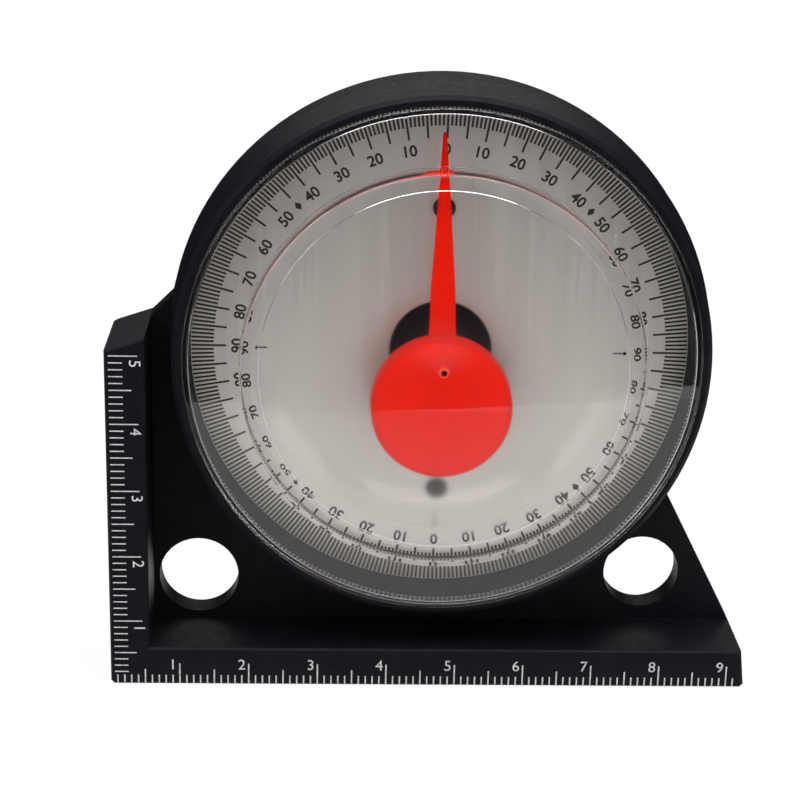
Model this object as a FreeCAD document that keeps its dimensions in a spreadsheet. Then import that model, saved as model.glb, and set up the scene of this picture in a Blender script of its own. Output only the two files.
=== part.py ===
import FreeCAD, Part
import Sketcher
import os
import re

from FreeCAD import Vector

# A pocket inclinometer. The row frame has +X along the foot, +Y from the viewer's side to the
# back and +Z up, with its origin in the middle of the foot's underside. Inside each piece, a
# depth whose name ends in _at is measured back from the front face of the ruler legs.

SIZES = [
    # the moulded housing: ruler legs, web and right-hand end
    ("base_length", 92.7),
    ("axis_off_middle", 0.75),
    ("body_depth", 15.5),
    ("foot_height", 5.75),
    ("foot_end_taper", 0.65),
    ("leg_width", 5.65),
    ("leg_height", 50.7),
    ("leg_top_rise", 1.9),
    ("web_thickness", 4.05),
    ("edge_bevel", 0.3),
    ("back_bevel", 0.6),
    ("foot_corner_bevel", 0.5),
    # the two round holes through the web
    ("left_hole_r", 5.85),
    ("left_hole_across", 12.2),
    ("left_hole_up", 12.45),
    ("right_hole_r", 5.6),
    ("right_hole_from_end", 14.35),
    ("right_hole_up", 13.55),
    # the drum
    ("axis_height", 48.75),
    ("drum_bore_r", 36.45),
    ("drum_wall", 1.4),
    ("drum_shoulder", 0.7),
    ("drum_front_at", 1.25),
    ("drum_front_bevel", 0.55),
    ("parting_at", 9.6),
    ("parting_draft", 1.05),
    ("parting_step", 0.1),
    ("rear_flare", 0.15),
    ("drum_back_bevel", 0.25),
    # under the dial: seat, ribs, posts and hub
    ("seat_width", 1.9),
    ("hub_r", 7.0),
    ("hub_proud", 0.1),
    ("rib_thickness", 1.2),
    ("rib_count", 8),
    ("post_r", 2.6),
    ("bush_bore_floor", 2.2),
    # the dial and its push pins
    ("dial_from_back", 6.1),
    ("dial_thickness", 0.5),
    ("dial_gap", 0.1),
    ("dial_hub_gap", 0.12),
    ("pin_from_axis", 20.8),
    ("pin_head_r", 1.6),
    ("pin_head_height", 0.35),
    ("pin_shank_r", 1.1),
    ("pin_length", 2.6),
    ("pin_hole_gap", 0.15),
    # the clear cover
    ("cover_fit", 0.05),
    ("cover_ring_thickness", 1.5),
    ("cover_skirt_depth", 2.9),
    ("cover_skirt_wall", 0.75),
    ("cover_rim_bevel", 0.2),
    ("window_rise", 4.15),
    ("window_r", 28.15),
    ("window_draft", 0.95),
    ("window_thickness", 2.55),
    ("window_flat_r", 25.65),
    ("window_step", 0.2),
    ("window_wall", 1.15),
    ("window_cone_depth", 0.6),
    ("spigot_r", 0.41),
    ("spigot_end_gap", 0.4),
    ("gate_angle", 9.9),
    ("gate_r", 0.45),
    ("gate_height", 0.25),
    # the pointer
    ("cup_front_at", 0.4),
    ("cup_depth", 4.7),
    ("cup_r", 9.9),
    ("pivot_below_cup_top", 3.55),
    ("cup_wall", 1.75),
    ("cup_front_wall", 1.2),
    ("cup_front_slope", 1.3),
    ("cup_front_step", 0.35),
    ("pointer_boss_r", 1.9),
    ("pointer_tube_r", 0.78),
    ("needle_tip_gap", 3.5),
    ("needle_root_sink", 1.15),
    ("needle_root_width", 4.2),
    ("needle_tip_width", 0.45),
    ("needle_root_thickness", 1.5),
    ("needle_tip_thickness", 0.7),
    ("needle_ridge", 0.35),
    # the counterweight
    ("slug_gap", 0.05),
    ("slug_thickness", 2.5),
    ("slug_notch_gap", 0.15),
    # the pivot
    ("pivot_r", 0.6),
    ("pivot_run_gap", 0.04),
    ("pivot_end_gap", 0.2),
    ("pivot_point", 0.25),
    ("bush_r", 2.0),
    ("bush_end_gap", 0.2),
    ("washer_thickness", 0.2),
    ("sleeve_r", 1.4),
    ("sleeve_gap", 0.1),
    # the magnets in the foot
    ("magnet_end_margin", 6.4),
    ("magnet_middle_margin", 12.0),
    ("magnet_width", 9.0),
    ("magnet_thickness", 3.0),
    ("magnet_gap", 0.1),
    ("magnet_recess", 0.15),
    ("magnet_chamfer", 0.3),
]

# Where the web's slanted edges end inside the drum, as shares of its radius from the axis.
WEB_RIGHT_ACROSS_SHARE = 0.743
WEB_RIGHT_DOWN_SHARE = 0.314
WEB_LEFT_ACROSS_SHARE = 0.776
WEB_LEFT_UP_SHARE = 0.383

ALIASES = {name for name, _ in SIZES}
MATCH = 0.01

doc = FreeCAD.newDocument("inclinometer")
sheet = doc.addObject("Spreadsheet::Sheet", "sizes")
for row, (name, number) in enumerate(SIZES, start=1):
    sheet.set(f"A{row}", name)
    sheet.set(f"B{row}", str(number))
    sheet.setAlias(f"B{row}", name)
doc.recompute()


def bound(expression):
    """The same expression with each size's name pointing into the sheet."""
    return re.sub(r"[a-z_]\w*", lambda m: f"sizes.{m[0]}" if m[0] in ALIASES else m[0], expression)


def value(expression):
    return float(sheet.evalExpression(bound(expression)))


def bind(thing, path, expression):
    thing.setExpression(path, bound(expression))


# Sketch helpers

def new_body(name, up="0"):
    """A body whose local depths start at the front face of the ruler legs."""
    body = doc.addObject("PartDesign::Body", name)
    body.Label = name
    bind(body, "Placement.Base.y", "-body_depth / 2")
    bind(body, "Placement.Base.z", up)
    return body


def new_sketch(body, name, role, across="0", up="0", along="0"):
    """A sketch on one of the body's own planes, moved to a bound place in that plane's frame."""
    sketch = body.newObject("Sketcher::SketchObject", name)
    plane = next(part for part in body.Origin.OriginFeatures if part.Role == role)
    sketch.AttachmentSupport = [(plane, "")]
    sketch.MapMode = "FlatFace"
    bind(sketch, "AttachmentOffset.Base.x", across)
    bind(sketch, "AttachmentOffset.Base.y", up)
    bind(sketch, "AttachmentOffset.Base.z", along)
    return sketch


def upright_sketch(body, name, at, up="0"):
    """A sketch that faces the viewer at a depth; its normal points to the front."""
    return new_sketch(body, name, "XZ_Plane", up=up, along=f"-({at})")


def hold(sketch, geometry, point, across, up):
    """Pins one point of a sketch to a place bound to the sheet."""
    for kind, expression, axis in (("DistanceX", across, -2), ("DistanceY", up, -1)):
        if expression == "0":
            sketch.addConstraint(Sketcher.Constraint("PointOnObject", geometry, point, axis))
            continue
        made = Sketcher.Constraint(kind, -1, 1, geometry, point, value(expression))
        index = sketch.addConstraint(made)
        bind(sketch, f"Constraints[{index}]", expression)


def polygon(sketch, corners):
    places = [Vector(value(across), value(up), 0) for across, up in corners]
    first, count = sketch.GeometryCount, len(corners)
    for k in range(count):
        sketch.addGeometry(Part.LineSegment(places[k], places[(k + 1) % count]), False)
    for k in range(count):
        after = first + (k + 1) % count
        sketch.addConstraint(Sketcher.Constraint("Coincident", first + k, 2, after, 1))
    for k, (across, up) in enumerate(corners):
        hold(sketch, first + k, 1, across, up)


def circle(sketch, across, up, radius):
    centre = Vector(value(across), value(up), 0)
    index = sketch.addGeometry(Part.Circle(centre, Vector(0, 0, 1), value(radius)), False)
    hold(sketch, index, 3, across, up)
    made = sketch.addConstraint(Sketcher.Constraint("Radius", index, value(radius)))
    bind(sketch, f"Constraints[{made}]", radius)


# Feature helpers

def pad(body, sketch, name, length, to_back=True):
    feature = body.newObject("PartDesign::Pad", name)
    feature.Profile = sketch
    feature.Reversed = to_back
    bind(feature, "Length", length)
    doc.recompute()
    return feature


def pocket(body, sketch, name, length, to_back=True):
    """Cuts towards the back, or towards the sketch's own normal."""
    before = body.Shape.Volume
    feature = body.newObject("PartDesign::Pocket", name)
    feature.Profile = sketch
    feature.Reversed = not to_back
    bind(feature, "Length", length)
    doc.recompute()
    if body.Shape.Volume >= before:
        raise RuntimeError(f"{name} cuts nothing")
    return feature


def revolve(body, sketch, name):
    feature = body.newObject("PartDesign::Revolution", name)
    feature.Profile = sketch
    feature.ReferenceAxis = (sketch, ["H_Axis"])
    feature.Angle = 360
    doc.recompute()
    return feature


def edge_names(shape, test):
    return [f"Edge{k}" for k, edge in enumerate(shape.Edges, start=1) if test(edge)]


def soften(body, kind, name, size, test):
    """Rounds or chamfers the edges of the body's last feature that pass the test."""
    base = body.Tip
    feature = body.newObject(f"PartDesign::{kind}", name)
    feature.Base = (base, edge_names(base.Shape, test))
    bind(feature, "Radius" if kind == "Fillet" else "Size", size)
    doc.recompute()
    return feature


def near(number, expression):
    return abs(number - value(expression)) < MATCH


def round_edge(edge, radius, at):
    """Whether an edge is a circle about the depth axis with this radius and depth."""
    if edge.Curve.TypeId != "Part::GeomCircle":
        return False
    on_axis = abs(edge.Curve.Axis.y) > 0.99
    return on_axis and near(edge.Curve.Radius, radius) and near(edge.Curve.Center.y, at)


# The housing: one black moulding

DRUM_R = "(drum_bore_r + drum_wall)"
PARTING_R = f"({DRUM_R} + parting_draft)"
REAR_R = f"({PARTING_R} - parting_step + rear_flare)"
WELL_R = "(drum_bore_r - drum_shoulder)"
DIAL_AT = "(body_depth - dial_from_back)"
DIAL_BACK = f"({DIAL_AT} + dial_thickness)"
FLOOR = "(body_depth - web_thickness)"
LEFT_END = "(-base_length / 2 - axis_off_middle)"
RIGHT_END = "(base_length / 2 - axis_off_middle)"
LEG_INNER = f"({LEFT_END} + leg_width)"
LEG_INNER_TOP = "(leg_height + leg_top_rise)"
HUB_FACE = f"({DIAL_AT} - hub_proud)"
BUSH_BORE_END = "(body_depth - bush_bore_floor)"

housing = new_body("housing")

drum = new_sketch(housing, "drum_section", "YZ_Plane", up="axis_height")
polygon(drum, [
    ("drum_front_at", "0"),
    ("drum_front_at", DRUM_R),
    ("parting_at", PARTING_R),
    ("parting_at", f"{PARTING_R} - parting_step"),
    ("body_depth", REAR_R),
    ("body_depth", "0"),
])
revolve(housing, drum, "drum")
soften(housing, "Chamfer", "drum_lip", "drum_front_bevel",
       lambda edge: round_edge(edge, DRUM_R, "drum_front_at"))
soften(housing, "Chamfer", "drum_back", "drum_back_bevel",
       lambda edge: round_edge(edge, REAR_R, "body_depth"))

web = upright_sketch(housing, "web_outline", FLOOR)
polygon(web, [
    (LEFT_END, "0"),
    (RIGHT_END, "0"),
    (f"{RIGHT_END} - foot_end_taper", "foot_height"),
    (f"{REAR_R} * {WEB_RIGHT_ACROSS_SHARE}", f"axis_height - {REAR_R} * {WEB_RIGHT_DOWN_SHARE}"),
    (f"-{REAR_R} * {WEB_LEFT_ACROSS_SHARE}", f"axis_height + {REAR_R} * {WEB_LEFT_UP_SHARE}"),
    (LEG_INNER, LEG_INNER_TOP),
    (LEFT_END, "leg_height"),
])
pad(housing, web, "web", "web_thickness")

legs = upright_sketch(housing, "ruler_legs", "0")
polygon(legs, [
    (LEFT_END, "0"),
    (RIGHT_END, "0"),
    (f"{RIGHT_END} - foot_end_taper", "foot_height"),
    (LEG_INNER, "foot_height"),
    (LEG_INNER, LEG_INNER_TOP),
    (LEFT_END, "leg_height"),
])
pad(housing, legs, "legs", "body_depth")

# The drum's stepped bore: the cover's seat in front, then the well that the dial lies in, then
# the hollow behind the dial with its hub, posts and ribs
for name, start, radius, end in (
    ("cover_bore", "0", "drum_bore_r", "cover_skirt_depth"),
    ("dial_well", "cover_skirt_depth", WELL_R, DIAL_BACK),
    ("rear_hollow", DIAL_BACK, "drum_bore_r - seat_width", FLOOR),
):
    outline = upright_sketch(housing, f"{name}_circle", start, up="axis_height")
    circle(outline, "0", "0", radius)
    pocket(housing, outline, name, f"{end} - {start}")

hub = upright_sketch(housing, "hub_circle", FLOOR, up="axis_height")
circle(hub, "0", "0", "hub_r")
pad(housing, hub, "hub", f"{FLOOR} - {HUB_FACE}", to_back=False)

posts = upright_sketch(housing, "post_circles", FLOOR, up="axis_height")
circle(posts, "0", "pin_from_axis", "post_r")
circle(posts, "0", "-pin_from_axis", "post_r")
pad(housing, posts, "posts", f"{FLOOR} - {DIAL_BACK}", to_back=False)

rib = upright_sketch(housing, "rib_outline", FLOOR, up="axis_height")
polygon(rib, [
    ("hub_r - rib_thickness / 2", "-rib_thickness / 2"),
    ("drum_bore_r - seat_width / 2", "-rib_thickness / 2"),
    ("drum_bore_r - seat_width / 2", "rib_thickness / 2"),
    ("hub_r - rib_thickness / 2", "rib_thickness / 2"),
])
first_rib = pad(housing, rib, "rib", f"{FLOOR} - {DIAL_BACK}", to_back=False)
ribs = housing.newObject("PartDesign::PolarPattern", "ribs")
ribs.Originals = [first_rib]
ribs.Axis = (rib, ["N_Axis"])
ribs.Angle = 360
bind(ribs, "Occurrences", "rib_count")
housing.Tip = ribs
doc.recompute()

pin_bores = upright_sketch(housing, "pin_bore_circles", DIAL_BACK, up="axis_height")
circle(pin_bores, "0", "pin_from_axis", "pin_shank_r")
circle(pin_bores, "0", "-pin_from_axis", "pin_shank_r")
pocket(housing, pin_bores, "pin_bores", "pin_length - dial_thickness")

bush_bore = upright_sketch(housing, "bush_bore_circle", HUB_FACE, up="axis_height")
circle(bush_bore, "0", "0", "bush_r")
pocket(housing, bush_bore, "bush_bore", f"{BUSH_BORE_END} - {HUB_FACE}")

holes = upright_sketch(housing, "web_hole_circles", FLOOR)
circle(holes, f"{LEFT_END} + left_hole_across", "left_hole_up", "left_hole_r")
circle(holes, f"{RIGHT_END} - right_hole_from_end", "right_hole_up", "right_hole_r")
pocket(housing, holes, "web_holes", "web_thickness")

MAGNET_LENGTH = "(base_length / 2 - magnet_end_margin - magnet_middle_margin / 2)"
MAGNET_MIDDLE = f"(magnet_middle_margin / 2 + {MAGNET_LENGTH} / 2)"
slots = new_sketch(housing, "magnet_slot_outlines", "XY_Plane", up="body_depth / 2")
for side in ("-", ""):
    middle = f"({side}{MAGNET_MIDDLE} - axis_off_middle)"
    half_long = f"({MAGNET_LENGTH} / 2 + magnet_gap)"
    half_wide = "(magnet_width / 2 + magnet_gap)"
    polygon(slots, [
        (f"{middle} - {half_long}", f"-{half_wide}"),
        (f"{middle} + {half_long}", f"-{half_wide}"),
        (f"{middle} + {half_long}", half_wide),
        (f"{middle} - {half_long}", half_wide),
    ])
pocket(housing, slots, "magnet_slots", "magnet_thickness + magnet_recess", to_back=False)


def on_front_outline(edge):
    box = edge.BoundBox
    return box.YMax < value("edge_bevel") and box.YMin > -value("edge_bevel")


def on_back_of_foot(edge):
    box = edge.BoundBox
    at_back = near(box.YMin, "body_depth") and near(box.YMax, "body_depth")
    return at_back and box.ZMin < value("foot_height / 2")


def on_foot_corner(edge):
    box = edge.BoundBox
    at_end = (near(box.XMin, LEFT_END) or near(box.XMax, RIGHT_END)) and box.XLength < value("edge_bevel")
    return at_end and box.ZMax < value("edge_bevel") and box.YLength > value("body_depth / 2")


soften(housing, "Chamfer", "foot_corners", "foot_corner_bevel", on_foot_corner)
soften(housing, "Chamfer", "front_edges", "edge_bevel", on_front_outline)
soften(housing, "Chamfer", "back_edges", "back_bevel", on_back_of_foot)

# The dial: thin silver plate on its seat, ribs and posts

dial_plate = new_body("dial_plate", up="axis_height")
dial = upright_sketch(dial_plate, "dial_outline", DIAL_AT)
circle(dial, "0", "0", f"{WELL_R} - dial_gap")
circle(dial, "0", "0", "hub_r + dial_hub_gap")
circle(dial, "0", "pin_from_axis", "pin_shank_r + pin_hole_gap")
circle(dial, "0", "-pin_from_axis", "pin_shank_r + pin_hole_gap")
pad(dial_plate, dial, "dial", "dial_thickness")


def push_pin(name, up):
    """A black push pin: shallow round head on the dial, shank in the housing's post."""
    body = new_body(name, up=up)
    section = new_sketch(body, f"{name}_section", "YZ_Plane")
    polygon(section, [
        (f"{DIAL_AT} - pin_head_height", "0"),
        (f"{DIAL_AT} - pin_head_height", "pin_head_r - pin_head_height / 2"),
        (f"{DIAL_AT} - pin_head_height / 2", "pin_head_r"),
        (DIAL_AT, "pin_head_r"),
        (DIAL_AT, "pin_shank_r"),
        (f"{DIAL_AT} + pin_length", "pin_shank_r"),
        (f"{DIAL_AT} + pin_length", "0"),
    ])
    revolve(body, section, f"{name}_turned")
    return body


dial_pins = doc.addObject("Part::Compound", "dial_pins")
dial_pins.Label = "dial_pins"
dial_pins.Links = [
    push_pin("upper_pin", "axis_height + pin_from_axis"),
    push_pin("lower_pin", "axis_height - pin_from_axis"),
]

# The clear cover: ring, raised window, short skirt and pivot spigot in one moulding

SKIRT_R = "(drum_bore_r - cover_fit)"
WINDOW_INNER = "(window_thickness - window_rise)"
WINDOW_BASE_R = "(window_r + window_draft)"
WINDOW_INNER_BASE_R = f"({WINDOW_BASE_R} - window_wall)"
WALL_SLOPE = "(window_draft / window_rise)"
CONE_FRONT = f"({WINDOW_INNER} + window_step)"
CONE_BACK = f"({CONE_FRONT} + window_cone_depth)"
SPIGOT_END = "(cup_front_at - spigot_end_gap)"

clear_cover = new_body("clear_cover", up="axis_height")
cover = new_sketch(clear_cover, "cover_section", "YZ_Plane")
polygon(cover, [
    ("-window_rise", "0"),
    ("-window_rise", "window_r"),
    ("0", WINDOW_BASE_R),
    ("0", SKIRT_R),
    ("cover_skirt_depth", SKIRT_R),
    ("cover_skirt_depth", f"{SKIRT_R} - cover_skirt_wall"),
    ("cover_ring_thickness", f"{SKIRT_R} - cover_skirt_wall"),
    ("cover_ring_thickness", f"{WINDOW_INNER_BASE_R} + cover_ring_thickness * {WALL_SLOPE}"),
    (CONE_BACK, f"{WINDOW_INNER_BASE_R} + {CONE_BACK} * {WALL_SLOPE}"),
    (CONE_FRONT, "window_flat_r"),
    (WINDOW_INNER, "window_flat_r"),
    (WINDOW_INNER, "spigot_r"),
    (SPIGOT_END, "spigot_r"),
    (SPIGOT_END, "0"),
])
revolve(clear_cover, cover, "cover")
soften(clear_cover, "Chamfer", "rim", "cover_rim_bevel", lambda edge: round_edge(edge, SKIRT_R, "0"))

# The cut-off stub of the gate through which the cover was filled stands on its rim
gate = upright_sketch(clear_cover, "gate_circle", "cover_rim_bevel")
gate_from_axis = f"({SKIRT_R} - gate_r)"
circle(gate, f"-{gate_from_axis} * sin(gate_angle)", f"{gate_from_axis} * cos(gate_angle)", "gate_r")
pad(clear_cover, gate, "gate", "cover_rim_bevel + gate_height", to_back=False)

# The pointer: needle, weight cup and front pivot tube in one red moulding

CUP_BACK = "(cup_front_at + cup_depth)"
CUP_FLOOR = "(cup_front_at + cup_front_wall)"
CUP_BELOW_PIVOT = "(cup_r - pivot_below_cup_top)"
NEEDLE_TIP_UP = f"({WELL_R} - needle_tip_gap)"
NEEDLE_ROOT_UP = "(pivot_below_cup_top - needle_root_sink)"
WASHER_FRONT = f"({WINDOW_INNER} + sleeve_gap)"
TUBE_END = f"({WASHER_FRONT} + washer_thickness)"
TUBE_BORE_R = "(spigot_r + pivot_run_gap)"

pointer = new_body("pointer", up="axis_height")
cup = new_sketch(pointer, "cup_section", "YZ_Plane", up=f"-{CUP_BELOW_PIVOT}")
polygon(cup, [
    ("cup_front_at", "0"),
    ("cup_front_at", "cup_r - cup_front_slope"),
    ("cup_front_at + cup_front_step", "cup_r - cup_front_step"),
    ("cup_front_at + cup_front_slope", "cup_r"),
    (CUP_BACK, "cup_r"),
    (CUP_BACK, "0"),
])
revolve(pointer, cup, "cup")


def needle_section(name, up, width, thickness):
    """A flat-backed bar with a low ridge down the middle of its front."""
    section = new_sketch(pointer, name, "XY_Plane", along=up)
    polygon(section, [
        (f"-{width} / 2", CUP_BACK),
        (f"{width} / 2", CUP_BACK),
        (f"{width} / 2", f"{CUP_BACK} - {thickness} + needle_ridge"),
        ("0", f"{CUP_BACK} - {thickness}"),
        (f"-{width} / 2", f"{CUP_BACK} - {thickness} + needle_ridge"),
    ])
    return section


needle = pointer.newObject("PartDesign::AdditiveLoft", "needle")
needle.Profile = needle_section("needle_root", NEEDLE_ROOT_UP, "needle_root_width", "needle_root_thickness")
needle.Sections = [needle_section("needle_tip", NEEDLE_TIP_UP, "needle_tip_width", "needle_tip_thickness")]
needle.Ruled = True
doc.recompute()

hollow = upright_sketch(pointer, "cup_hollow_circle", CUP_FLOOR)
circle(hollow, "0", f"-{CUP_BELOW_PIVOT}", "cup_r - cup_wall")
pocket(pointer, hollow, "cup_hollow", f"{CUP_BACK} - {CUP_FLOOR}")
boss = upright_sketch(pointer, "pointer_boss_circle", CUP_FLOOR)
circle(boss, "0", "0", "pointer_boss_r")
pad(pointer, boss, "pointer_boss", f"{CUP_BACK} - {CUP_FLOOR}")
tube = upright_sketch(pointer, "tube_circle", "cup_front_at")
circle(tube, "0", "0", "pointer_tube_r")
pad(pointer, tube, "tube", f"cup_front_at - {TUBE_END}", to_back=False)
tube_bore = upright_sketch(pointer, "tube_bore_circle", "cup_front_at")
circle(tube_bore, "0", "0", TUBE_BORE_R)
pocket(pointer, tube_bore, "tube_bore", f"cup_front_at - {TUBE_END}", to_back=False)
pivot_hole = upright_sketch(pointer, "pivot_hole_circle", CUP_FLOOR)
circle(pivot_hole, "0", "0", "pivot_r")
pocket(pointer, pivot_hole, "pivot_hole", f"{CUP_BACK} - {CUP_FLOOR}")

# The counterweight: a steel slug, notched round the pointer's pivot boss

counterweight = new_body("counterweight", up="axis_height")
slug = upright_sketch(counterweight, "slug_circle", CUP_FLOOR)
circle(slug, "0", f"-{CUP_BELOW_PIVOT}", "cup_r - cup_wall - slug_gap")
pad(counterweight, slug, "slug", "slug_thickness")
notch = upright_sketch(counterweight, "notch_circle", CUP_FLOOR)
circle(notch, "0", "0", "pointer_boss_r + slug_notch_gap")
pocket(counterweight, notch, "notch", "slug_thickness")

# The pivot: pin, bush, washer and sleeve on one axis

PIVOT_FRONT = f"({CUP_FLOOR} + pivot_end_gap)"
PIVOT_REAR = f"({BUSH_BORE_END} - pivot_end_gap)"


def turned_piece(name, corners):
    """A small turned piece on the pivot axis, from its half section."""
    body = new_body(name, up="axis_height")
    section = new_sketch(body, f"{name}_section", "YZ_Plane")
    polygon(section, corners)
    revolve(body, section, f"{name}_turned")
    return body


def ring(name, front, back, outer, inner):
    return turned_piece(name, [(front, inner), (front, outer), (back, outer), (back, inner)])


pivot_pin = turned_piece("pivot_pin", [
    (PIVOT_FRONT, "0"),
    (PIVOT_FRONT, "pivot_r - pivot_point"),
    (f"{PIVOT_FRONT} + pivot_point", "pivot_r"),
    (f"{PIVOT_REAR} - pivot_point", "pivot_r"),
    (PIVOT_REAR, "pivot_r - pivot_point"),
    (PIVOT_REAR, "0"),
])
rear_bush = ring("rear_bush", HUB_FACE, f"{BUSH_BORE_END} - bush_end_gap", "bush_r", "pivot_r + pivot_run_gap")
front_washer = ring("front_washer", WASHER_FRONT, TUBE_END, "pointer_tube_r", TUBE_BORE_R)
rear_sleeve = ring("rear_sleeve", CUP_BACK, f"{HUB_FACE} - sleeve_gap", "sleeve_r", "pivot_r")

# The magnets: ferrite bars in the foot's underside


def magnet(name, side):
    body = new_body(name)
    outline = new_sketch(body, f"{name}_outline", "XY_Plane", up="body_depth / 2", along="magnet_recess")
    middle = f"({side}{MAGNET_MIDDLE} - axis_off_middle)"
    polygon(outline, [
        (f"{middle} - {MAGNET_LENGTH} / 2", "-magnet_width / 2"),
        (f"{middle} + {MAGNET_LENGTH} / 2", "-magnet_width / 2"),
        (f"{middle} + {MAGNET_LENGTH} / 2", "magnet_width / 2"),
        (f"{middle} - {MAGNET_LENGTH} / 2", "magnet_width / 2"),
    ])
    pad(body, outline, f"{name}_bar", "magnet_thickness", to_back=False)
    soften(body, "Chamfer", f"{name}_edges", "magnet_chamfer",
           lambda edge: edge.BoundBox.ZMax < value("magnet_recess + magnet_chamfer"))
    return body


magnet_left = magnet("magnet_left", "-")
magnet_right = magnet("magnet_right", "")

# Check every object, then write each piece

PIECES = [
    housing, dial_plate, dial_pins, clear_cover, pointer, counterweight, pivot_pin, rear_bush,
    front_washer, rear_sleeve, magnet_left, magnet_right,
]

doc.recompute()
for thing in doc.Objects:
    if "Invalid" in thing.State or "Error" in thing.State:
        raise RuntimeError(f"{thing.Label} failed: {thing.State}")
for piece in PIECES:
    if piece.Shape.isNull() or not piece.Shape.isValid() or not piece.Shape.Solids:
        raise RuntimeError(f"{piece.Label} has no valid solid")

os.makedirs("parts", exist_ok=True)
for piece in PIECES:
    piece.Shape.exportStep(f"parts/{piece.Label}.step")
    solids = len(piece.Shape.Solids)
    print(f"{piece.Label}: {solids} solid(s), {piece.Shape.Volume:.1f} mm3")
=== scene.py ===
import math

import bmesh
import bpy
from mathutils import Matrix, Vector


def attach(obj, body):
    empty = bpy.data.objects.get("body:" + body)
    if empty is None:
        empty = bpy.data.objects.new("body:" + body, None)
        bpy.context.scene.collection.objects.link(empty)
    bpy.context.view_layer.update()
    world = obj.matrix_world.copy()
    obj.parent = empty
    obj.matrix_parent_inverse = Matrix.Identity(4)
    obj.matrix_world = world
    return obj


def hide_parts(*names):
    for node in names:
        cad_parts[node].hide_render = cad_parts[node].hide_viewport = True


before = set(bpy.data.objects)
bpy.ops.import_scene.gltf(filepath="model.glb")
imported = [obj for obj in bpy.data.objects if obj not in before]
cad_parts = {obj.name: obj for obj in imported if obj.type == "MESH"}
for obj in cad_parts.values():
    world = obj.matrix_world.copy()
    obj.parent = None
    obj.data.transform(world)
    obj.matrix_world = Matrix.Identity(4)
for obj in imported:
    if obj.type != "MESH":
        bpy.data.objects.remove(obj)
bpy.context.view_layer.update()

# The housing is one injection moulding in black ABS: ruler legs, thin web, drum and,
# under the dial, the seat, ribs and hub. Satin, with a faint grain from the tool, and
# rougher on the sunk web than on the polished front of the ruler legs.
mm = 0.001
axis_z = 48.75 * mm
leg_front = -7.75 * mm
web_front = 3.7 * mm


def finish_of(name, **sockets):
    """A material with one Principled shader, and the tree that its pattern is built in."""
    material = bpy.data.materials.new(name)
    material.use_nodes = True
    tree = material.node_tree
    shader = tree.nodes["Principled BSDF"]
    for socket, number in sockets.items():
        shader.inputs[socket.replace("_", " ")].default_value = number
    return material, tree, shader


def place(tree, stretch=(1, 1, 1)):
    """Position on the piece in metres, stretched along its own axes."""
    coordinates = tree.nodes.new("ShaderNodeTexCoord")
    mapping = tree.nodes.new("ShaderNodeMapping")
    mapping.inputs["Scale"].default_value = stretch
    tree.links.new(coordinates.outputs["Object"], mapping.inputs["Vector"])
    return mapping.outputs["Vector"]


def grain(tree, vector, per_metre, detail=3.0, rough=0.55):
    noise = tree.nodes.new("ShaderNodeTexNoise")
    noise.inputs["Scale"].default_value = per_metre
    noise.inputs["Detail"].default_value = detail
    noise.inputs["Roughness"].default_value = rough
    tree.links.new(vector, noise.inputs["Vector"])
    return noise.outputs["Fac"]


def spread(tree, source, low, high, source_low=0.3, source_high=0.7):
    """The pattern's values, brought to the range that a socket needs."""
    node = tree.nodes.new("ShaderNodeMapRange")
    ends = {"From Min": source_low, "From Max": source_high, "To Min": low, "To Max": high}
    for socket, number in ends.items():
        node.inputs[socket].default_value = number
    tree.links.new(source, node.inputs["Value"])
    return node.outputs["Result"]


def combine(tree, operation, first, second):
    node = tree.nodes.new("ShaderNodeMath")
    node.operation = operation
    tree.links.new(first, node.inputs[0])
    tree.links.new(second, node.inputs[1])
    return node.outputs["Value"]


def shades(tree, source, *stops):
    """Colours along a pattern: each stop is a place from 0 to 1 and a colour."""
    ramp = tree.nodes.new("ShaderNodeValToRGB")
    for element, (at, colour) in zip(ramp.color_ramp.elements, (stops[0], stops[-1])):
        element.position, element.color = at, (*colour, 1)
    for at, colour in stops[1:-1]:
        ramp.color_ramp.elements.new(at).color = (*colour, 1)
    tree.links.new(source, ramp.inputs["Fac"])
    return ramp.outputs["Color"]


def relief(tree, shader, height, depth, strength=1.0, under=None):
    """Small bumps of that depth in metres, on top of any earlier ones."""
    bump = tree.nodes.new("ShaderNodeBump")
    bump.inputs["Strength"].default_value = strength
    bump.inputs["Distance"].default_value = depth
    tree.links.new(height, bump.inputs["Height"])
    if under is not None:
        tree.links.new(under, bump.inputs["Normal"])
    tree.links.new(bump.outputs["Normal"], shader.inputs["Normal"])
    return bump.outputs["Normal"]


def dress(node, material):
    """Gives a CAD piece its finish."""
    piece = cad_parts[node]
    piece.data.materials.clear()
    piece.data.materials.append(material)
    for polygon in piece.data.polygons:
        polygon.material_index = 0
    return piece


black_abs, tree, shader = finish_of("black_abs", Specular_IOR_Level=0.08)
at = place(tree)
tone = grain(tree, at, 260, detail=4)
blacks = shades(tree, tone, (0.3, (0.0040, 0.0036, 0.0056)), (0.7, (0.0062, 0.0057, 0.0080)))
tree.links.new(blacks, shader.inputs["Base Color"])
rub = grain(tree, place(tree, (1.0, 1.0, 0.35)), 900, detail=5)
tree.links.new(spread(tree, rub, 0.4, 0.54), shader.inputs["Roughness"])
soft_corner = tree.nodes.new("ShaderNodeBevel")
soft_corner.samples = 6
soft_corner.inputs["Radius"].default_value = 0.16 * mm
skin = relief(tree, shader, grain(tree, at, 5200, detail=2), 0.004 * mm, under=soft_corner.outputs["Normal"])
sunk = tree.nodes.new("ShaderNodeSeparateXYZ")
tree.links.new(at, sunk.inputs["Vector"])
on_web = spread(tree, sunk.outputs["Y"], 0.0, 1.0, web_front - 0.6 * mm, web_front - 0.1 * mm)
ripple = grain(tree, place(tree, (1.0, 1.0, 0.6)), 750, detail=4, rough=0.6)
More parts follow.
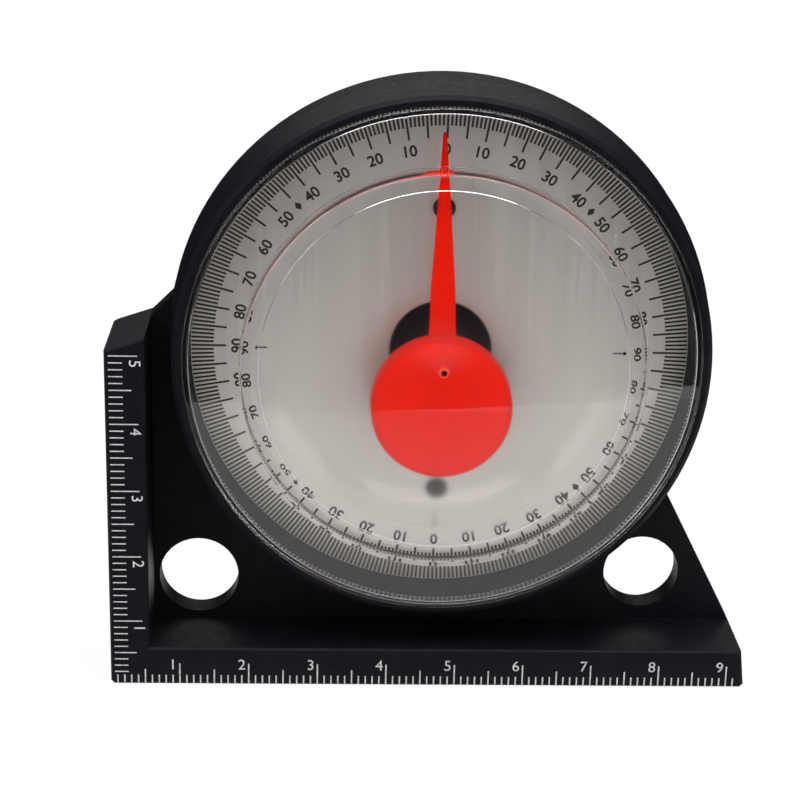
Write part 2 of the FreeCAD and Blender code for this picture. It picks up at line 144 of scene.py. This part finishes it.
relief(tree, shader, combine(tree, "MULTIPLY", ripple, on_web), 0.05 * mm, under=skin)
dress("housing", black_abs)

# The ruler graduations are pad-printed on the two ruler legs in white ink: millimetre
# ticks from the outer edges, longer at each 5 and 10, with the centimetre figures beside
# the long ones. The film is thin, slightly uneven, and lies on the plastic.
print_lift = 0.012 * mm


def glyphs(text, height, weight=0.0):
    """The flat outline of some figures, centred, as corner places and faces."""
    curve = bpy.data.curves.new("figures", "FONT")
    curve.body = text
    curve.resolution_u = 5
    curve.offset = weight
    carrier = bpy.data.objects.new("figures", curve)
    bpy.context.scene.collection.objects.link(carrier)
    bpy.context.view_layer.update()
    shape = bpy.data.meshes.new_from_object(carrier)
    corners = [vertex.co.copy() for vertex in shape.vertices]
    faces = [tuple(polygon.vertices) for polygon in shape.polygons]
    bpy.data.objects.remove(carrier)
    bpy.data.curves.remove(curve)
    bpy.data.meshes.remove(shape)
    left, right = min(c.x for c in corners), max(c.x for c in corners)
    low, high = min(c.y for c in corners), max(c.y for c in corners)
    size = height / (high - low)
    middle = Vector(((left + right) / 2, (low + high) / 2, 0))
    return [(corner - middle) * size for corner in corners], faces


def add_flat(work, corners, faces, across, up, turn=0.0, width=1.0):
    """Adds a flat outline to a print, turned clockwise about its centre by that angle."""
    c, s = math.cos(turn), math.sin(turn)
    made = []
    for corner in corners:
        x, z = corner.x * width, corner.y
        made.append(work.verts.new((across + x * c + z * s, 0, up - x * s + z * c)))
    for face in faces:
        points = [made[k] for k in face]
        if len(set(points)) > 2:
            work.faces.new(points)


def add_bar(work, start, end, width):
    """Adds one printed line between two places."""
    along = (Vector(end) - Vector(start)).normalized()
    side = Vector((along.y, -along.x)) * width / 2
    quad = [Vector(start) - side, Vector(start) + side, Vector(end) + side, Vector(end) - side]
    work.faces.new([work.verts.new((p.x, 0, p.y)) for p in quad])


def face_forward(work):
    work.normal_update()
    for face in work.faces:
        if face.normal.y > 0:
            face.normal_flip()


def print_piece(name, work, depth, material, body):
    face_forward(work)
    shape = bpy.data.meshes.new(name)
    work.to_mesh(shape)
    work.free()
    for vertex in shape.vertices:
        vertex.co.y += depth
    shape.materials.append(material)
    piece = bpy.data.objects.new(name, shape)
    bpy.context.scene.collection.objects.link(piece)
    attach(piece, body)
    return piece


white_ink, tree, shader = finish_of("white_ink", Specular_IOR_Level=0.3)
film = grain(tree, place(tree), 1500, detail=4)
whites = shades(tree, film, (0.25, (0.27, 0.275, 0.285)), (0.6, (0.47, 0.475, 0.48)))
tree.links.new(whites, shader.inputs["Base Color"])
tree.links.new(spread(tree, film, 0.62, 0.48), shader.inputs["Roughness"])

left_end = -47.1
foot_bevel = 0.3 * mm
figure_height = 1.6 * mm
foot_tick_width, leg_tick_width = 0.2 * mm, 0.17 * mm
foot_figures_up, leg_figures_across = 3.2, 4.3


def by_length(k, ten, five, one):
    """The value that belongs to the tick of that number of millimetres."""
    return ten if k % 10 == 0 else five if k % 5 == 0 else one


ticks = bmesh.new()
for k in range(1, 92):
    tall = by_length(k, 3.35, 2.4, 1.5)
    x = (left_end + k) * mm
    add_bar(ticks, (x, 0.04 * mm), (x, foot_bevel), foot_tick_width)
    add_bar(ticks, (x, foot_bevel), (x, tall * mm), foot_tick_width)
for k in range(1, 10):
    corners, faces = glyphs(str(k), figure_height)
    add_flat(ticks, corners, faces, (left_end + 10 * k - 1.0) * mm, foot_figures_up * mm)
for k in range(2, 51):
    long = by_length(k, 4.67, 3.77, 2.57)
    start, end = (left_end + 0.6) * mm, (left_end + long) * mm
    add_bar(ticks, (start, k * mm), (end, k * mm), leg_tick_width)
for k in range(1, 6):
    corners, faces = glyphs(str(k), figure_height)
    across, up = (left_end + leg_figures_across) * mm, (10 * k - 1.1) * mm
    add_flat(ticks, corners, faces, across, up, math.radians(90))
face_forward(ticks)
for corner in ticks.verts:
    corner.co.y += max(0.0, foot_bevel - corner.co.z)
print_piece("ruler_print", ticks, leg_front - print_lift, white_ink, "body")

# The dial is a thin plate of silver-faced sheet, brushed lightly from top to bottom,
# that lies on the seat, ribs and posts inside the drum.
dial_front = 1.65 * mm

satin_silver, tree, shader = finish_of("satin_silver", Metallic=0.78, Specular_IOR_Level=0.5)
brushed = grain(tree, place(tree, (1.0, 1.0, 0.012)), 2600, detail=5, rough=0.6)
silvers = shades(tree, brushed, (0.2, (0.66, 0.62, 0.575)), (0.8, (0.74, 0.70, 0.655)))
tree.links.new(silvers, shader.inputs["Base Color"])
tree.links.new(spread(tree, brushed, 0.36, 0.48), shader.inputs["Roughness"])
relief(tree, shader, brushed, 0.002 * mm)
dress("dial_plate", satin_silver)

# The degree scale is printed on the dial in black: a tick for each degree, a longer one
# for each five, and figures that count from 0 to 90 on both sides of both noughts. A
# small lozenge stands for 45, and four short marks inside the scale give the quarters.
scale_turn = math.radians(0.35)


def round_scale(angle, radius):
    """A place on the dial, from the angle clockwise from the top."""
    turned = angle + scale_turn
    return radius * mm * math.sin(turned), axis_z + radius * mm * math.cos(turned)


black_ink, tree, shader = finish_of("black_ink", Specular_IOR_Level=0.4)
film = grain(tree, place(tree), 2400, detail=3)
inks = shades(tree, film, (0.3, (0.012, 0.012, 0.013)), (0.7, (0.03, 0.029, 0.03)))
tree.links.new(inks, shader.inputs["Base Color"])
tree.links.new(spread(tree, film, 0.42, 0.58), shader.inputs["Roughness"])

tick_end, figure_ring = 35.55, 29.05
quarter_start, quarter_end = 24.7, 26.6
lozenge_corners = ((0, 0.72, 0), (0.5, 0, 0), (0, -0.72, 0), (-0.5, 0, 0))
lozenge = [Vector(corner) * mm for corner in lozenge_corners]
dart = [Vector(corner) * mm for corner in ((0, 0.25, 0), (0.42, -0.3, 0), (-0.42, -0.3, 0))]
scale = bmesh.new()
for degree in range(360):
    angle = math.radians(degree)
    inner = 30.6 if degree % 5 == 0 else 32.35
    add_bar(scale, round_scale(angle, inner), round_scale(angle, tick_end), 0.3 * mm)
for degree in range(0, 360, 10):
    figure = min(degree % 180, 180 - degree % 180)
    angle = math.radians(degree)
    corners, faces = glyphs(str(figure), 1.65 * mm, weight=0.026)
    add_flat(scale, corners, faces, *round_scale(angle, figure_ring), angle + scale_turn)
for degree in (45, 135, 225, 315):
    angle = math.radians(degree)
    add_flat(scale, lozenge, [(0, 1, 2, 3)], *round_scale(angle, figure_ring), angle + scale_turn)
for degree in (0, 90, 180, 270):
    angle = math.radians(degree)
    add_bar(scale, round_scale(angle, quarter_start), round_scale(angle, quarter_end), 0.2 * mm)
    add_flat(scale, dart, [(0, 1, 2)], *round_scale(angle, quarter_end), angle + scale_turn)
print_piece("degree_scale", scale, dial_front - print_lift, black_ink, "body")

# Two black push pins hold the dial, one above and one below the hub: soft moulded nylon
# with a shallow head, pressed through the plate into the housing's posts.
pin_nylon, tree, shader = finish_of("pin_nylon", Specular_IOR_Level=0.4)
tone = grain(tree, place(tree), 1800, detail=3)
pin_nylon_tones = shades(tree, tone, (0.3, (0.008, 0.008, 0.009)), (0.7, (0.016, 0.016, 0.018)))
tree.links.new(pin_nylon_tones, shader.inputs["Base Color"])
tree.links.new(spread(tree, tone, 0.4, 0.55), shader.inputs["Roughness"])
dress("dial_pins", pin_nylon)

# The cover is one clear acrylic moulding: a flat ring with a raised round window, a skirt
# that stands on a shoulder inside the drum, and behind the window a short spigot that the
# pointer's tube turns on. Its edges are rounded by the tool, and it snaps into the drum.


def rounded(corners, closed=False, arc_steps=6):
    """A section's outline, its corners rounded; each corner is (radius, depth, rounding)."""
    points = []
    count = len(corners)
    for k, (radius, depth, rounding) in enumerate(corners):
        here = Vector((radius, depth))
        if rounding == 0 or (not closed and k in (0, count - 1)):
            points.append(here)
            continue
        before = Vector(corners[k - 1][:2]) - here
        after = Vector(corners[(k + 1) % count][:2]) - here
        half = before.angle(after) / 2
        back = rounding / math.tan(half)
        start, end = here + before.normalized() * back, here + after.normalized() * back
        centre = here + (before.normalized() + after.normalized()).normalized() * rounding / math.sin(half)
        a, b = start - centre, end - centre
        turn = math.atan2(a.x * b.y - a.y * b.x, a.dot(b))
        for step in range(arc_steps + 1):
            t = turn * step / arc_steps
            c, s = math.cos(t), math.sin(t)
            points.append(centre + Vector((a.x * c - a.y * s, a.x * s + a.y * c)))
    return points


def add_turned(work, points, centre_z, around=240, closed=False):
    """Turns a section about a depth axis; places on the axis become single corners."""
    rings = []
    for point in points:
        radius, depth = point.x * mm, point.y * mm
        if point.x < 1e-6:
            rings.append([work.verts.new((0, depth, centre_z))])
            continue
        angles = [2 * math.pi * k / around for k in range(around)]
        rings.append([
            work.verts.new((radius * math.sin(t), depth, centre_z + radius * math.cos(t)))
            for t in angles
        ])
    pairs = list(zip(rings, rings[1:])) + ([(rings[-1], rings[0])] if closed else [])
    for first, second in pairs:
        for k in range(around):
            j = (k + 1) % around
            near = [first[k % len(first)], first[j % len(first)]]
            quad = near + [second[j % len(second)], second[k % len(second)]]
            corners = list(dict.fromkeys(quad))
            if len(corners) > 2:
                work.faces.new(corners)


def solid_piece(name, work, material, body, slot, *nodes, sharp=32):
    """Closes up a piece's mesh and puts it on its body in place of the CAD pieces named."""
    bmesh.ops.recalc_face_normals(work, faces=work.faces)
    shape = bpy.data.meshes.new(name)
    work.to_mesh(shape)
    work.free()
    shape.shade_smooth()
    shape.set_sharp_from_angle(angle=math.radians(sharp))
    shape.materials.append(material)
    piece = bpy.data.objects.new(name, shape)
    bpy.context.scene.collection.objects.link(piece)
    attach(piece, body)
    if nodes:
        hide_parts(*nodes)
    return piece


cover_section = [
    (0, -11.9, 0),
    (28.15, -11.9, 0.17),
    (28.43, -7.75, 0.08),
    (36.4, -7.75, 0.3),
    (36.4, -4.85, 0.2),
    (35.65, -4.85, 0.2),
    (35.65, -7.06, 0.3),
    (28.23, -7.06, 0.1),
    (28.0, -8.76, 0.08),
    (26.12, -9.15, 4.8),
    (25.65, -9.15, 0.07),
    (25.65, -9.35, 0.02),
    (0.41, -9.35, 0.1),
    (0.41, -7.75, 0.1),
    (0, -7.75, 0),
]
acrylic, tree, shader = finish_of("clear_acrylic", Transmission_Weight=1.0, IOR=1.49, Roughness=0.0)
shader.inputs["Base Color"].default_value = (1.0, 1.0, 1.0, 1)
scuffs = grain(tree, place(tree), 420, detail=5, rough=0.65)
from_axis = tree.nodes.new("ShaderNodeMapping")
from_axis.inputs["Location"].default_value = (0, 0, -axis_z)
from_axis.inputs["Scale"].default_value = (1, 0, 1)
tree.links.new(place(tree), from_axis.inputs["Vector"])
radius_there = tree.nodes.new("ShaderNodeVectorMath")
radius_there.operation = "LENGTH"
tree.links.new(from_axis.outputs["Vector"], radius_there.inputs[0])
depth_there = tree.nodes.new("ShaderNodeSeparateXYZ")
tree.links.new(place(tree), depth_there.inputs["Vector"])
within = spread(tree, radius_there.outputs["Value"], 1.0, 0.0, 22.6 * mm, 25.3 * mm)
behind = spread(tree, depth_there.outputs["Y"], 0.0, 1.0, -10.0 * mm, -9.6 * mm)
fog = spread(tree, depth_there.outputs["Z"], 0.28, 0.11, axis_z - 20 * mm, axis_z + 12 * mm)
fogged = combine(tree, "MULTIPLY", combine(tree, "MULTIPLY", within, behind), fog)
hazed = combine(tree, "MAXIMUM", spread(tree, scuffs, 0.0, 0.035, 0.45, 0.75), fogged)
tree.links.new(hazed, shader.inputs["Roughness"])
relief(tree, shader, grain(tree, place(tree), 60, detail=2), 0.006 * mm)


def any_ray(tree, *kinds):
    """One for rays of the kinds named, and nought for the others."""
    path = tree.nodes.new("ShaderNodeLightPath")
    found = path.outputs[kinds[0]]
    for kind in kinds[1:]:
        found = combine(tree, "MAXIMUM", found, path.outputs[kind])
    return found


passing = tree.nodes.new("ShaderNodeBsdfTransparent")
passing.inputs["Color"].default_value = (0.93, 0.93, 0.93, 1)
choice = tree.nodes.new("ShaderNodeMixShader")
tree.links.new(any_ray(tree, "Is Shadow Ray", "Is Diffuse Ray"), choice.inputs["Fac"])
tree.links.new(shader.outputs["BSDF"], choice.inputs[1])
tree.links.new(passing.outputs["BSDF"], choice.inputs[2])
tree.links.new(choice.outputs["Shader"], tree.nodes["Material Output"].inputs["Surface"])

cover = bmesh.new()
add_turned(cover, rounded(cover_section), axis_z)
gate_angle, gate_radius = math.radians(9.9), 35.95 * mm
gate_x, gate_z = -gate_radius * math.sin(gate_angle), axis_z + gate_radius * math.cos(gate_angle)
stub_section = [(0, -8.0, 0), (0.45, -8.0, 0.1), (0.45, -7.5, 0), (0, -7.5, 0)]
stub = bmesh.new()
add_turned(stub, rounded(stub_section), 0.0, around=32)
for corner in stub.verts:
    corner.co += Vector((gate_x, 0, gate_z))
stub_shape = bpy.data.meshes.new("gate_stub")
stub.to_mesh(stub_shape)
stub.free()
cover.from_mesh(stub_shape)
bpy.data.meshes.remove(stub_shape)
solid_piece("cover_moulding", cover, acrylic, "body", "clear_plastic", "clear_cover")

# The pointer is one red-orange moulding: a round cup that holds the steel weight
# below the pivot, a long needle with a low ridge that stands up from it, and in front the
# short tube that turns on the cover's spigot.
signal_red, tree, shader = finish_of("signal_red", Specular_IOR_Level=0.02)
tone = grain(tree, place(tree), 300, detail=3)
reds = shades(tree, tone, (0.3, (0.66, 0.007, 0.0008)), (0.7, (0.72, 0.009, 0.001)))
tree.links.new(reds, shader.inputs["Base Color"])
wear = grain(tree, place(tree), 1400, detail=4)
tree.links.new(spread(tree, wear, 0.34, 0.42), shader.inputs["Roughness"])
relief(tree, shader, grain(tree, place(tree), 2600, detail=2), 0.001 * mm)

cup_z = axis_z - 6.35 * mm
pointer = bmesh.new()
cup_section = [
    (0, -7.35, 0),
    (9.9, -7.35, 1.3),
    (9.9, -2.65, 0.15),
    (8.15, -2.65, 0.1),
    (8.15, -6.15, 0.1),
    (0, -6.15, 0),
]
add_turned(pointer, rounded(cup_section, arc_steps=10), cup_z)


def needle_ring(work, up, width, thickness, edge=0.12):
    """One level of the needle: flat back, low ridge in front, edges slightly rounded."""
    back, front, half = -2.65, -2.65 - thickness, width / 2
    outline = [
        (-half, back - edge), (-half + edge, back), (half - edge, back), (half, back - edge),
        (half, front + ridge + edge), (half - edge, front + ridge - edge * 0.5), (0.0, front),
        (-half + edge, front + ridge - edge * 0.5), (-half, front + ridge + edge),
    ]
    lean = -needle_lean * up
    return [work.verts.new(((x + lean) * mm, y * mm, axis_z + up * mm)) for x, y in outline]


needle_lean, ridge = 0.0125, 0.35
root_thick, tip_thick = 1.5, 0.7
needle_widths = (
    (2.4, 3.9), (4.0, 3.68), (5.4, 3.58), (7.4, 3.5), (9.2, 3.43), (10.4, 3.36),
    (12.7, 3.08), (17.0, 2.5), (22.0, 1.86), (27.0, 1.2), (31.4, 0.62), (32.1, 0.5),
)
levels = []
for up, width in needle_widths:
    t = (up - 2.4) / 29.7
    thick = root_thick + t * (tip_thick - root_thick)
    levels.append(needle_ring(pointer, up, width, thick, 0.12 - 0.05 * t))
levels.append(needle_ring(pointer, 32.25, 0.34, 0.6, 0.05))
for low, high in zip(levels, levels[1:]):
    for k in range(len(low)):
        j = (k + 1) % len(low)
        pointer.faces.new([low[k], low[j], high[j], high[k]])
pointer.faces.new(levels[0])
pointer.faces.new(levels[-1])
boss = [(0.6, -6.15, 0), (0.6, -2.65, 0), (1.9, -2.65, 0.1), (1.9, -6.15, 0)]
add_turned(pointer, rounded(boss), axis_z, around=64)
tube = [(0.45, -7.2, 0), (0.78, -7.2, 0), (0.78, -9.05, 0.06), (0.45, -9.05, 0.04)]
add_turned(pointer, rounded(tube, closed=True, arc_steps=3), axis_z, around=48, closed=True)
solid_piece("needle_and_cup", pointer, signal_red, "pointer", "red_plastic", "pointer")

# The weight is a mild-steel slug, punched from sheet and pressed into the back of the
# cup, with a notch that clears the pointer's pivot boss.
punched_steel, tree, shader = finish_of("punched_steel", Metallic=1.0)
tone = grain(tree, place(tree, (1.0, 1.0, 0.3)), 900, detail=5)
punched_steel_tones = shades(tree, tone, (0.3, (0.30, 0.29, 0.28)), (0.7, (0.46, 0.45, 0.44)))
tree.links.new(punched_steel_tones, shader.inputs["Base Color"])
tree.links.new(spread(tree, tone, 0.3, 0.5), shader.inputs["Roughness"])
dress("counterweight", punched_steel)

# Behind, the pointer turns on a hard steel pin with pointed ends. The pin is pressed into
# the pointer's boss and runs in a brass bush in the housing's hub.
ground_steel, tree, shader = finish_of("ground_steel", Metallic=1.0)
turning = grain(tree, place(tree, (0.1, 1.0, 0.1)), 6000, detail=3)
ground_steel_tones = shades(tree, turning, (0.3, (0.50, 0.50, 0.51)), (0.7, (0.62, 0.62, 0.63)))
tree.links.new(ground_steel_tones, shader.inputs["Base Color"])
tree.links.new(spread(tree, turning, 0.18, 0.3), shader.inputs["Roughness"])
dress("pivot_pin", ground_steel)

turned_brass, tree, shader = finish_of("turned_brass", Metallic=1.0)
turning = grain(tree, place(tree, (0.1, 1.0, 0.1)), 5000, detail=3)
turned_brass_tones = shades(tree, turning, (0.3, (0.62, 0.43, 0.16)), (0.7, (0.75, 0.54, 0.22)))
tree.links.new(turned_brass_tones, shader.inputs["Base Color"])
tree.links.new(spread(tree, turning, 0.22, 0.36), shader.inputs["Roughness"])
dress("rear_bush", turned_brass)

# A nylon washer at the end of the pointer's tube and a nylon sleeve behind keep it clear
# of the window and the hub; both are dyed red, so that they don't show against it.
dyed_nylon, tree, shader = finish_of("dyed_nylon", Specular_IOR_Level=0.4, Subsurface_Weight=0.05)
shader.inputs["Subsurface Radius"].default_value = (0.4 * mm, 0.1 * mm, 0.05 * mm)
tone = grain(tree, place(tree), 2000, detail=3)
dyed_nylon_tones = shades(tree, tone, (0.3, (0.72, 0.018, 0.003)), (0.7, (0.80, 0.026, 0.005)))
tree.links.new(dyed_nylon_tones, shader.inputs["Base Color"])
tree.links.new(spread(tree, tone, 0.4, 0.5), shader.inputs["Roughness"])
dress("front_washer", dyed_nylon)
dress("rear_sleeve", dyed_nylon)

# Two ferrite bars in the foot's underside hold the gauge on steel. They are pressed and
# fired, dark grey with fine pores, and glued in their slots just below the surface.
fired_ferrite, tree, shader = finish_of("fired_ferrite", Metallic=0.35, Specular_IOR_Level=0.4)
pores = grain(tree, place(tree), 2600, detail=6, rough=0.7)
fired_ferrite_tones = shades(tree, pores, (0.3, (0.025, 0.025, 0.028)), (0.7, (0.06, 0.06, 0.064)))
tree.links.new(fired_ferrite_tones, shader.inputs["Base Color"])
tree.links.new(spread(tree, pores, 0.5, 0.7), shader.inputs["Roughness"])
relief(tree, shader, pores, 0.02 * mm)
dress("magnet_left", fired_ferrite)
dress("magnet_right", fired_ferrite)

# The part stands on a plain white sweep under soft studio light: a wide panel overhead,
# a weaker one on each side of the viewer, and white surroundings.
sweep_white, tree, shader = finish_of("sweep_white", Roughness=0.9, Specular_IOR_Level=0.1)
shader.inputs["Base Color"].default_value = (0.9, 0.9, 0.9, 1)
away = tree.nodes.new("ShaderNodeVectorMath")
away.operation = "LENGTH"
tree.links.new(place(tree), away.inputs[0])
seen = any_ray(tree, "Is Camera Ray", "Is Glossy Ray", "Is Transmission Ray")
share = combine(tree, "MULTIPLY", seen, spread(tree, away.outputs["Value"], 0.94, 1.0, 0.1, 0.5))
paper_glow = tree.nodes.new("ShaderNodeEmission")
paper_glow.inputs["Color"].default_value = (1, 1, 1, 1)
paper_glow.inputs["Strength"].default_value = 1.0
paper = tree.nodes.new("ShaderNodeMixShader")
tree.links.new(share, paper.inputs["Fac"])
tree.links.new(shader.outputs["BSDF"], paper.inputs[1])
tree.links.new(paper_glow.outputs["Emission"], paper.inputs[2])
tree.links.new(paper.outputs["Shader"], tree.nodes["Material Output"].inputs["Surface"])

floor = bmesh.new()
bmesh.ops.create_circle(floor, cap_ends=True, radius=4.0, segments=96)
floor_shape = bpy.data.meshes.new("floor")
floor.to_mesh(floor_shape)
floor.free()
floor_shape.transform(Matrix.Translation((0, 0, -0.02 * mm)))
floor_shape.materials.append(sweep_white)
floor_piece = bpy.data.objects.new("floor", floor_shape)
bpy.context.scene.collection.objects.link(floor_piece)

# Black card lies in front of the part and behind it, stands at both sides and behind the
# viewer, and grey card lies near its foot, all shown by reflections alone. They keep the
# white room out of the cover, so that the dial and the pointer read clearly.
card_black, tree, shader = finish_of("card_black", Roughness=1.0, Specular_IOR_Level=0.0)
fibre = grain(tree, place(tree), 300, detail=2)
card_black_tones = shades(tree, fibre, (0.3, (0.004, 0.004, 0.004)), (0.7, (0.008, 0.008, 0.008)))
tree.links.new(card_black_tones, shader.inputs["Base Color"])
card_near, card_far, card_half, card_top = -0.131, -1.6, 1.6, 1.3
card_slant = -0.12


def lay_card(name, rows, material, through_glass):
    """A card from pairs of corners, row after row; only reflections show it."""
    card = bmesh.new()
    edges = [[card.verts.new(corner) for corner in row] for row in rows]
    for first, second in zip(edges, edges[1:]):
        card.faces.new([first[0], first[1], second[1], second[0]])
    shape = bpy.data.meshes.new(name)
    card.to_mesh(shape)
    card.free()
    shape.materials.append(material)
    piece = bpy.data.objects.new(name, shape)
    piece.visible_camera = False
    piece.visible_diffuse = False
    piece.visible_shadow = False
    piece.visible_transmission = through_glass
    bpy.context.scene.collection.objects.link(piece)


def card_row(y, z, half=card_half, slant=0.0):
    """The left and right corners of a card at that depth and height."""
    return (-half, y - slant * half, z), (half, y + slant * half, z)


front_rows = [
    card_row(card_near, 0.001, slant=card_slant),
    card_row(card_far, 0.001),
    card_row(card_far, card_top),
]
back_rows = [card_row(0.06, 0.0008), card_row(card_half, 0.0008), card_row(card_half, 0.6)]
lay_card("black_card", front_rows, card_black, True)
lay_card("back_card", back_rows, card_black, False)
for name, x in (("left_card", -0.9), ("right_card", 0.9)):
    side_rows = [((x, -card_half, z), (x, card_half, z)) for z in (0.0, card_top)]
    lay_card(name, side_rows, card_black, True)
card_grey, tree, shader = finish_of("card_grey", Roughness=1.0, Specular_IOR_Level=0.0)
fibre = grain(tree, place(tree), 300, detail=2)
card_grey_tones = shades(tree, fibre, (0.3, (0.33, 0.325, 0.315)), (0.7, (0.37, 0.365, 0.355)))
tree.links.new(card_grey_tones, shader.inputs["Base Color"])
grey_half = 0.3
grey_rows = [card_row(-0.012, 0.0006, grey_half), card_row(card_near, 0.0006, grey_half)]
lay_card("grey_card", grey_rows, card_grey, False)

world = bpy.data.worlds.new("white_room")
world.use_nodes = True
bpy.context.scene.world = world
tree = world.node_tree
room = tree.nodes["Background"]
room.inputs["Color"].default_value = (1, 1, 1, 1)
seen = any_ray(tree, "Is Camera Ray", "Is Glossy Ray", "Is Transmission Ray")
tree.links.new(spread(tree, seen, 0.45, 1.0, 0.0, 1.0), room.inputs["Strength"])


def soft_panel(name, place_at, aim, width, height, watts):
    lamp = bpy.data.lights.new(name, "AREA")
    lamp.shape = "RECTANGLE"
    lamp.size, lamp.size_y = width, height
    lamp.energy = watts
    holder = bpy.data.objects.new(name, lamp)
    holder.location = place_at
    holder.rotation_euler = (Vector(aim) - Vector(place_at)).to_track_quat("-Z", "Y").to_euler()
    bpy.context.scene.collection.objects.link(holder)


lit_place = (0, 0, 0.04)
soft_panel("overhead_panel", (0.0, -0.10, 0.75), lit_place, 0.8, 0.6, 7.0)
soft_panel("left_panel", (-0.65, -0.55, 0.35), lit_place, 0.4, 0.4, 2.0)
soft_panel("right_panel", (0.65, -0.55, 0.35), lit_place, 0.4, 0.4, 2.0)

# The camera stands in front, a little to the left and well above, as for the photograph.
lens = bpy.data.cameras.new("camera")
lens.sensor_width = 36.0
lens.lens = 93.427
camera = bpy.data.objects.new("camera", lens)
camera.location = (-0.016269, -0.283002, 0.135327)
camera.rotation_euler = (math.radians(71.65971), math.radians(-1.23544), math.radians(-1.74068))
bpy.context.scene.collection.objects.link(camera)
bpy.context.scene.camera = camera
bpy.context.scene.view_settings.view_transform = "Standard"
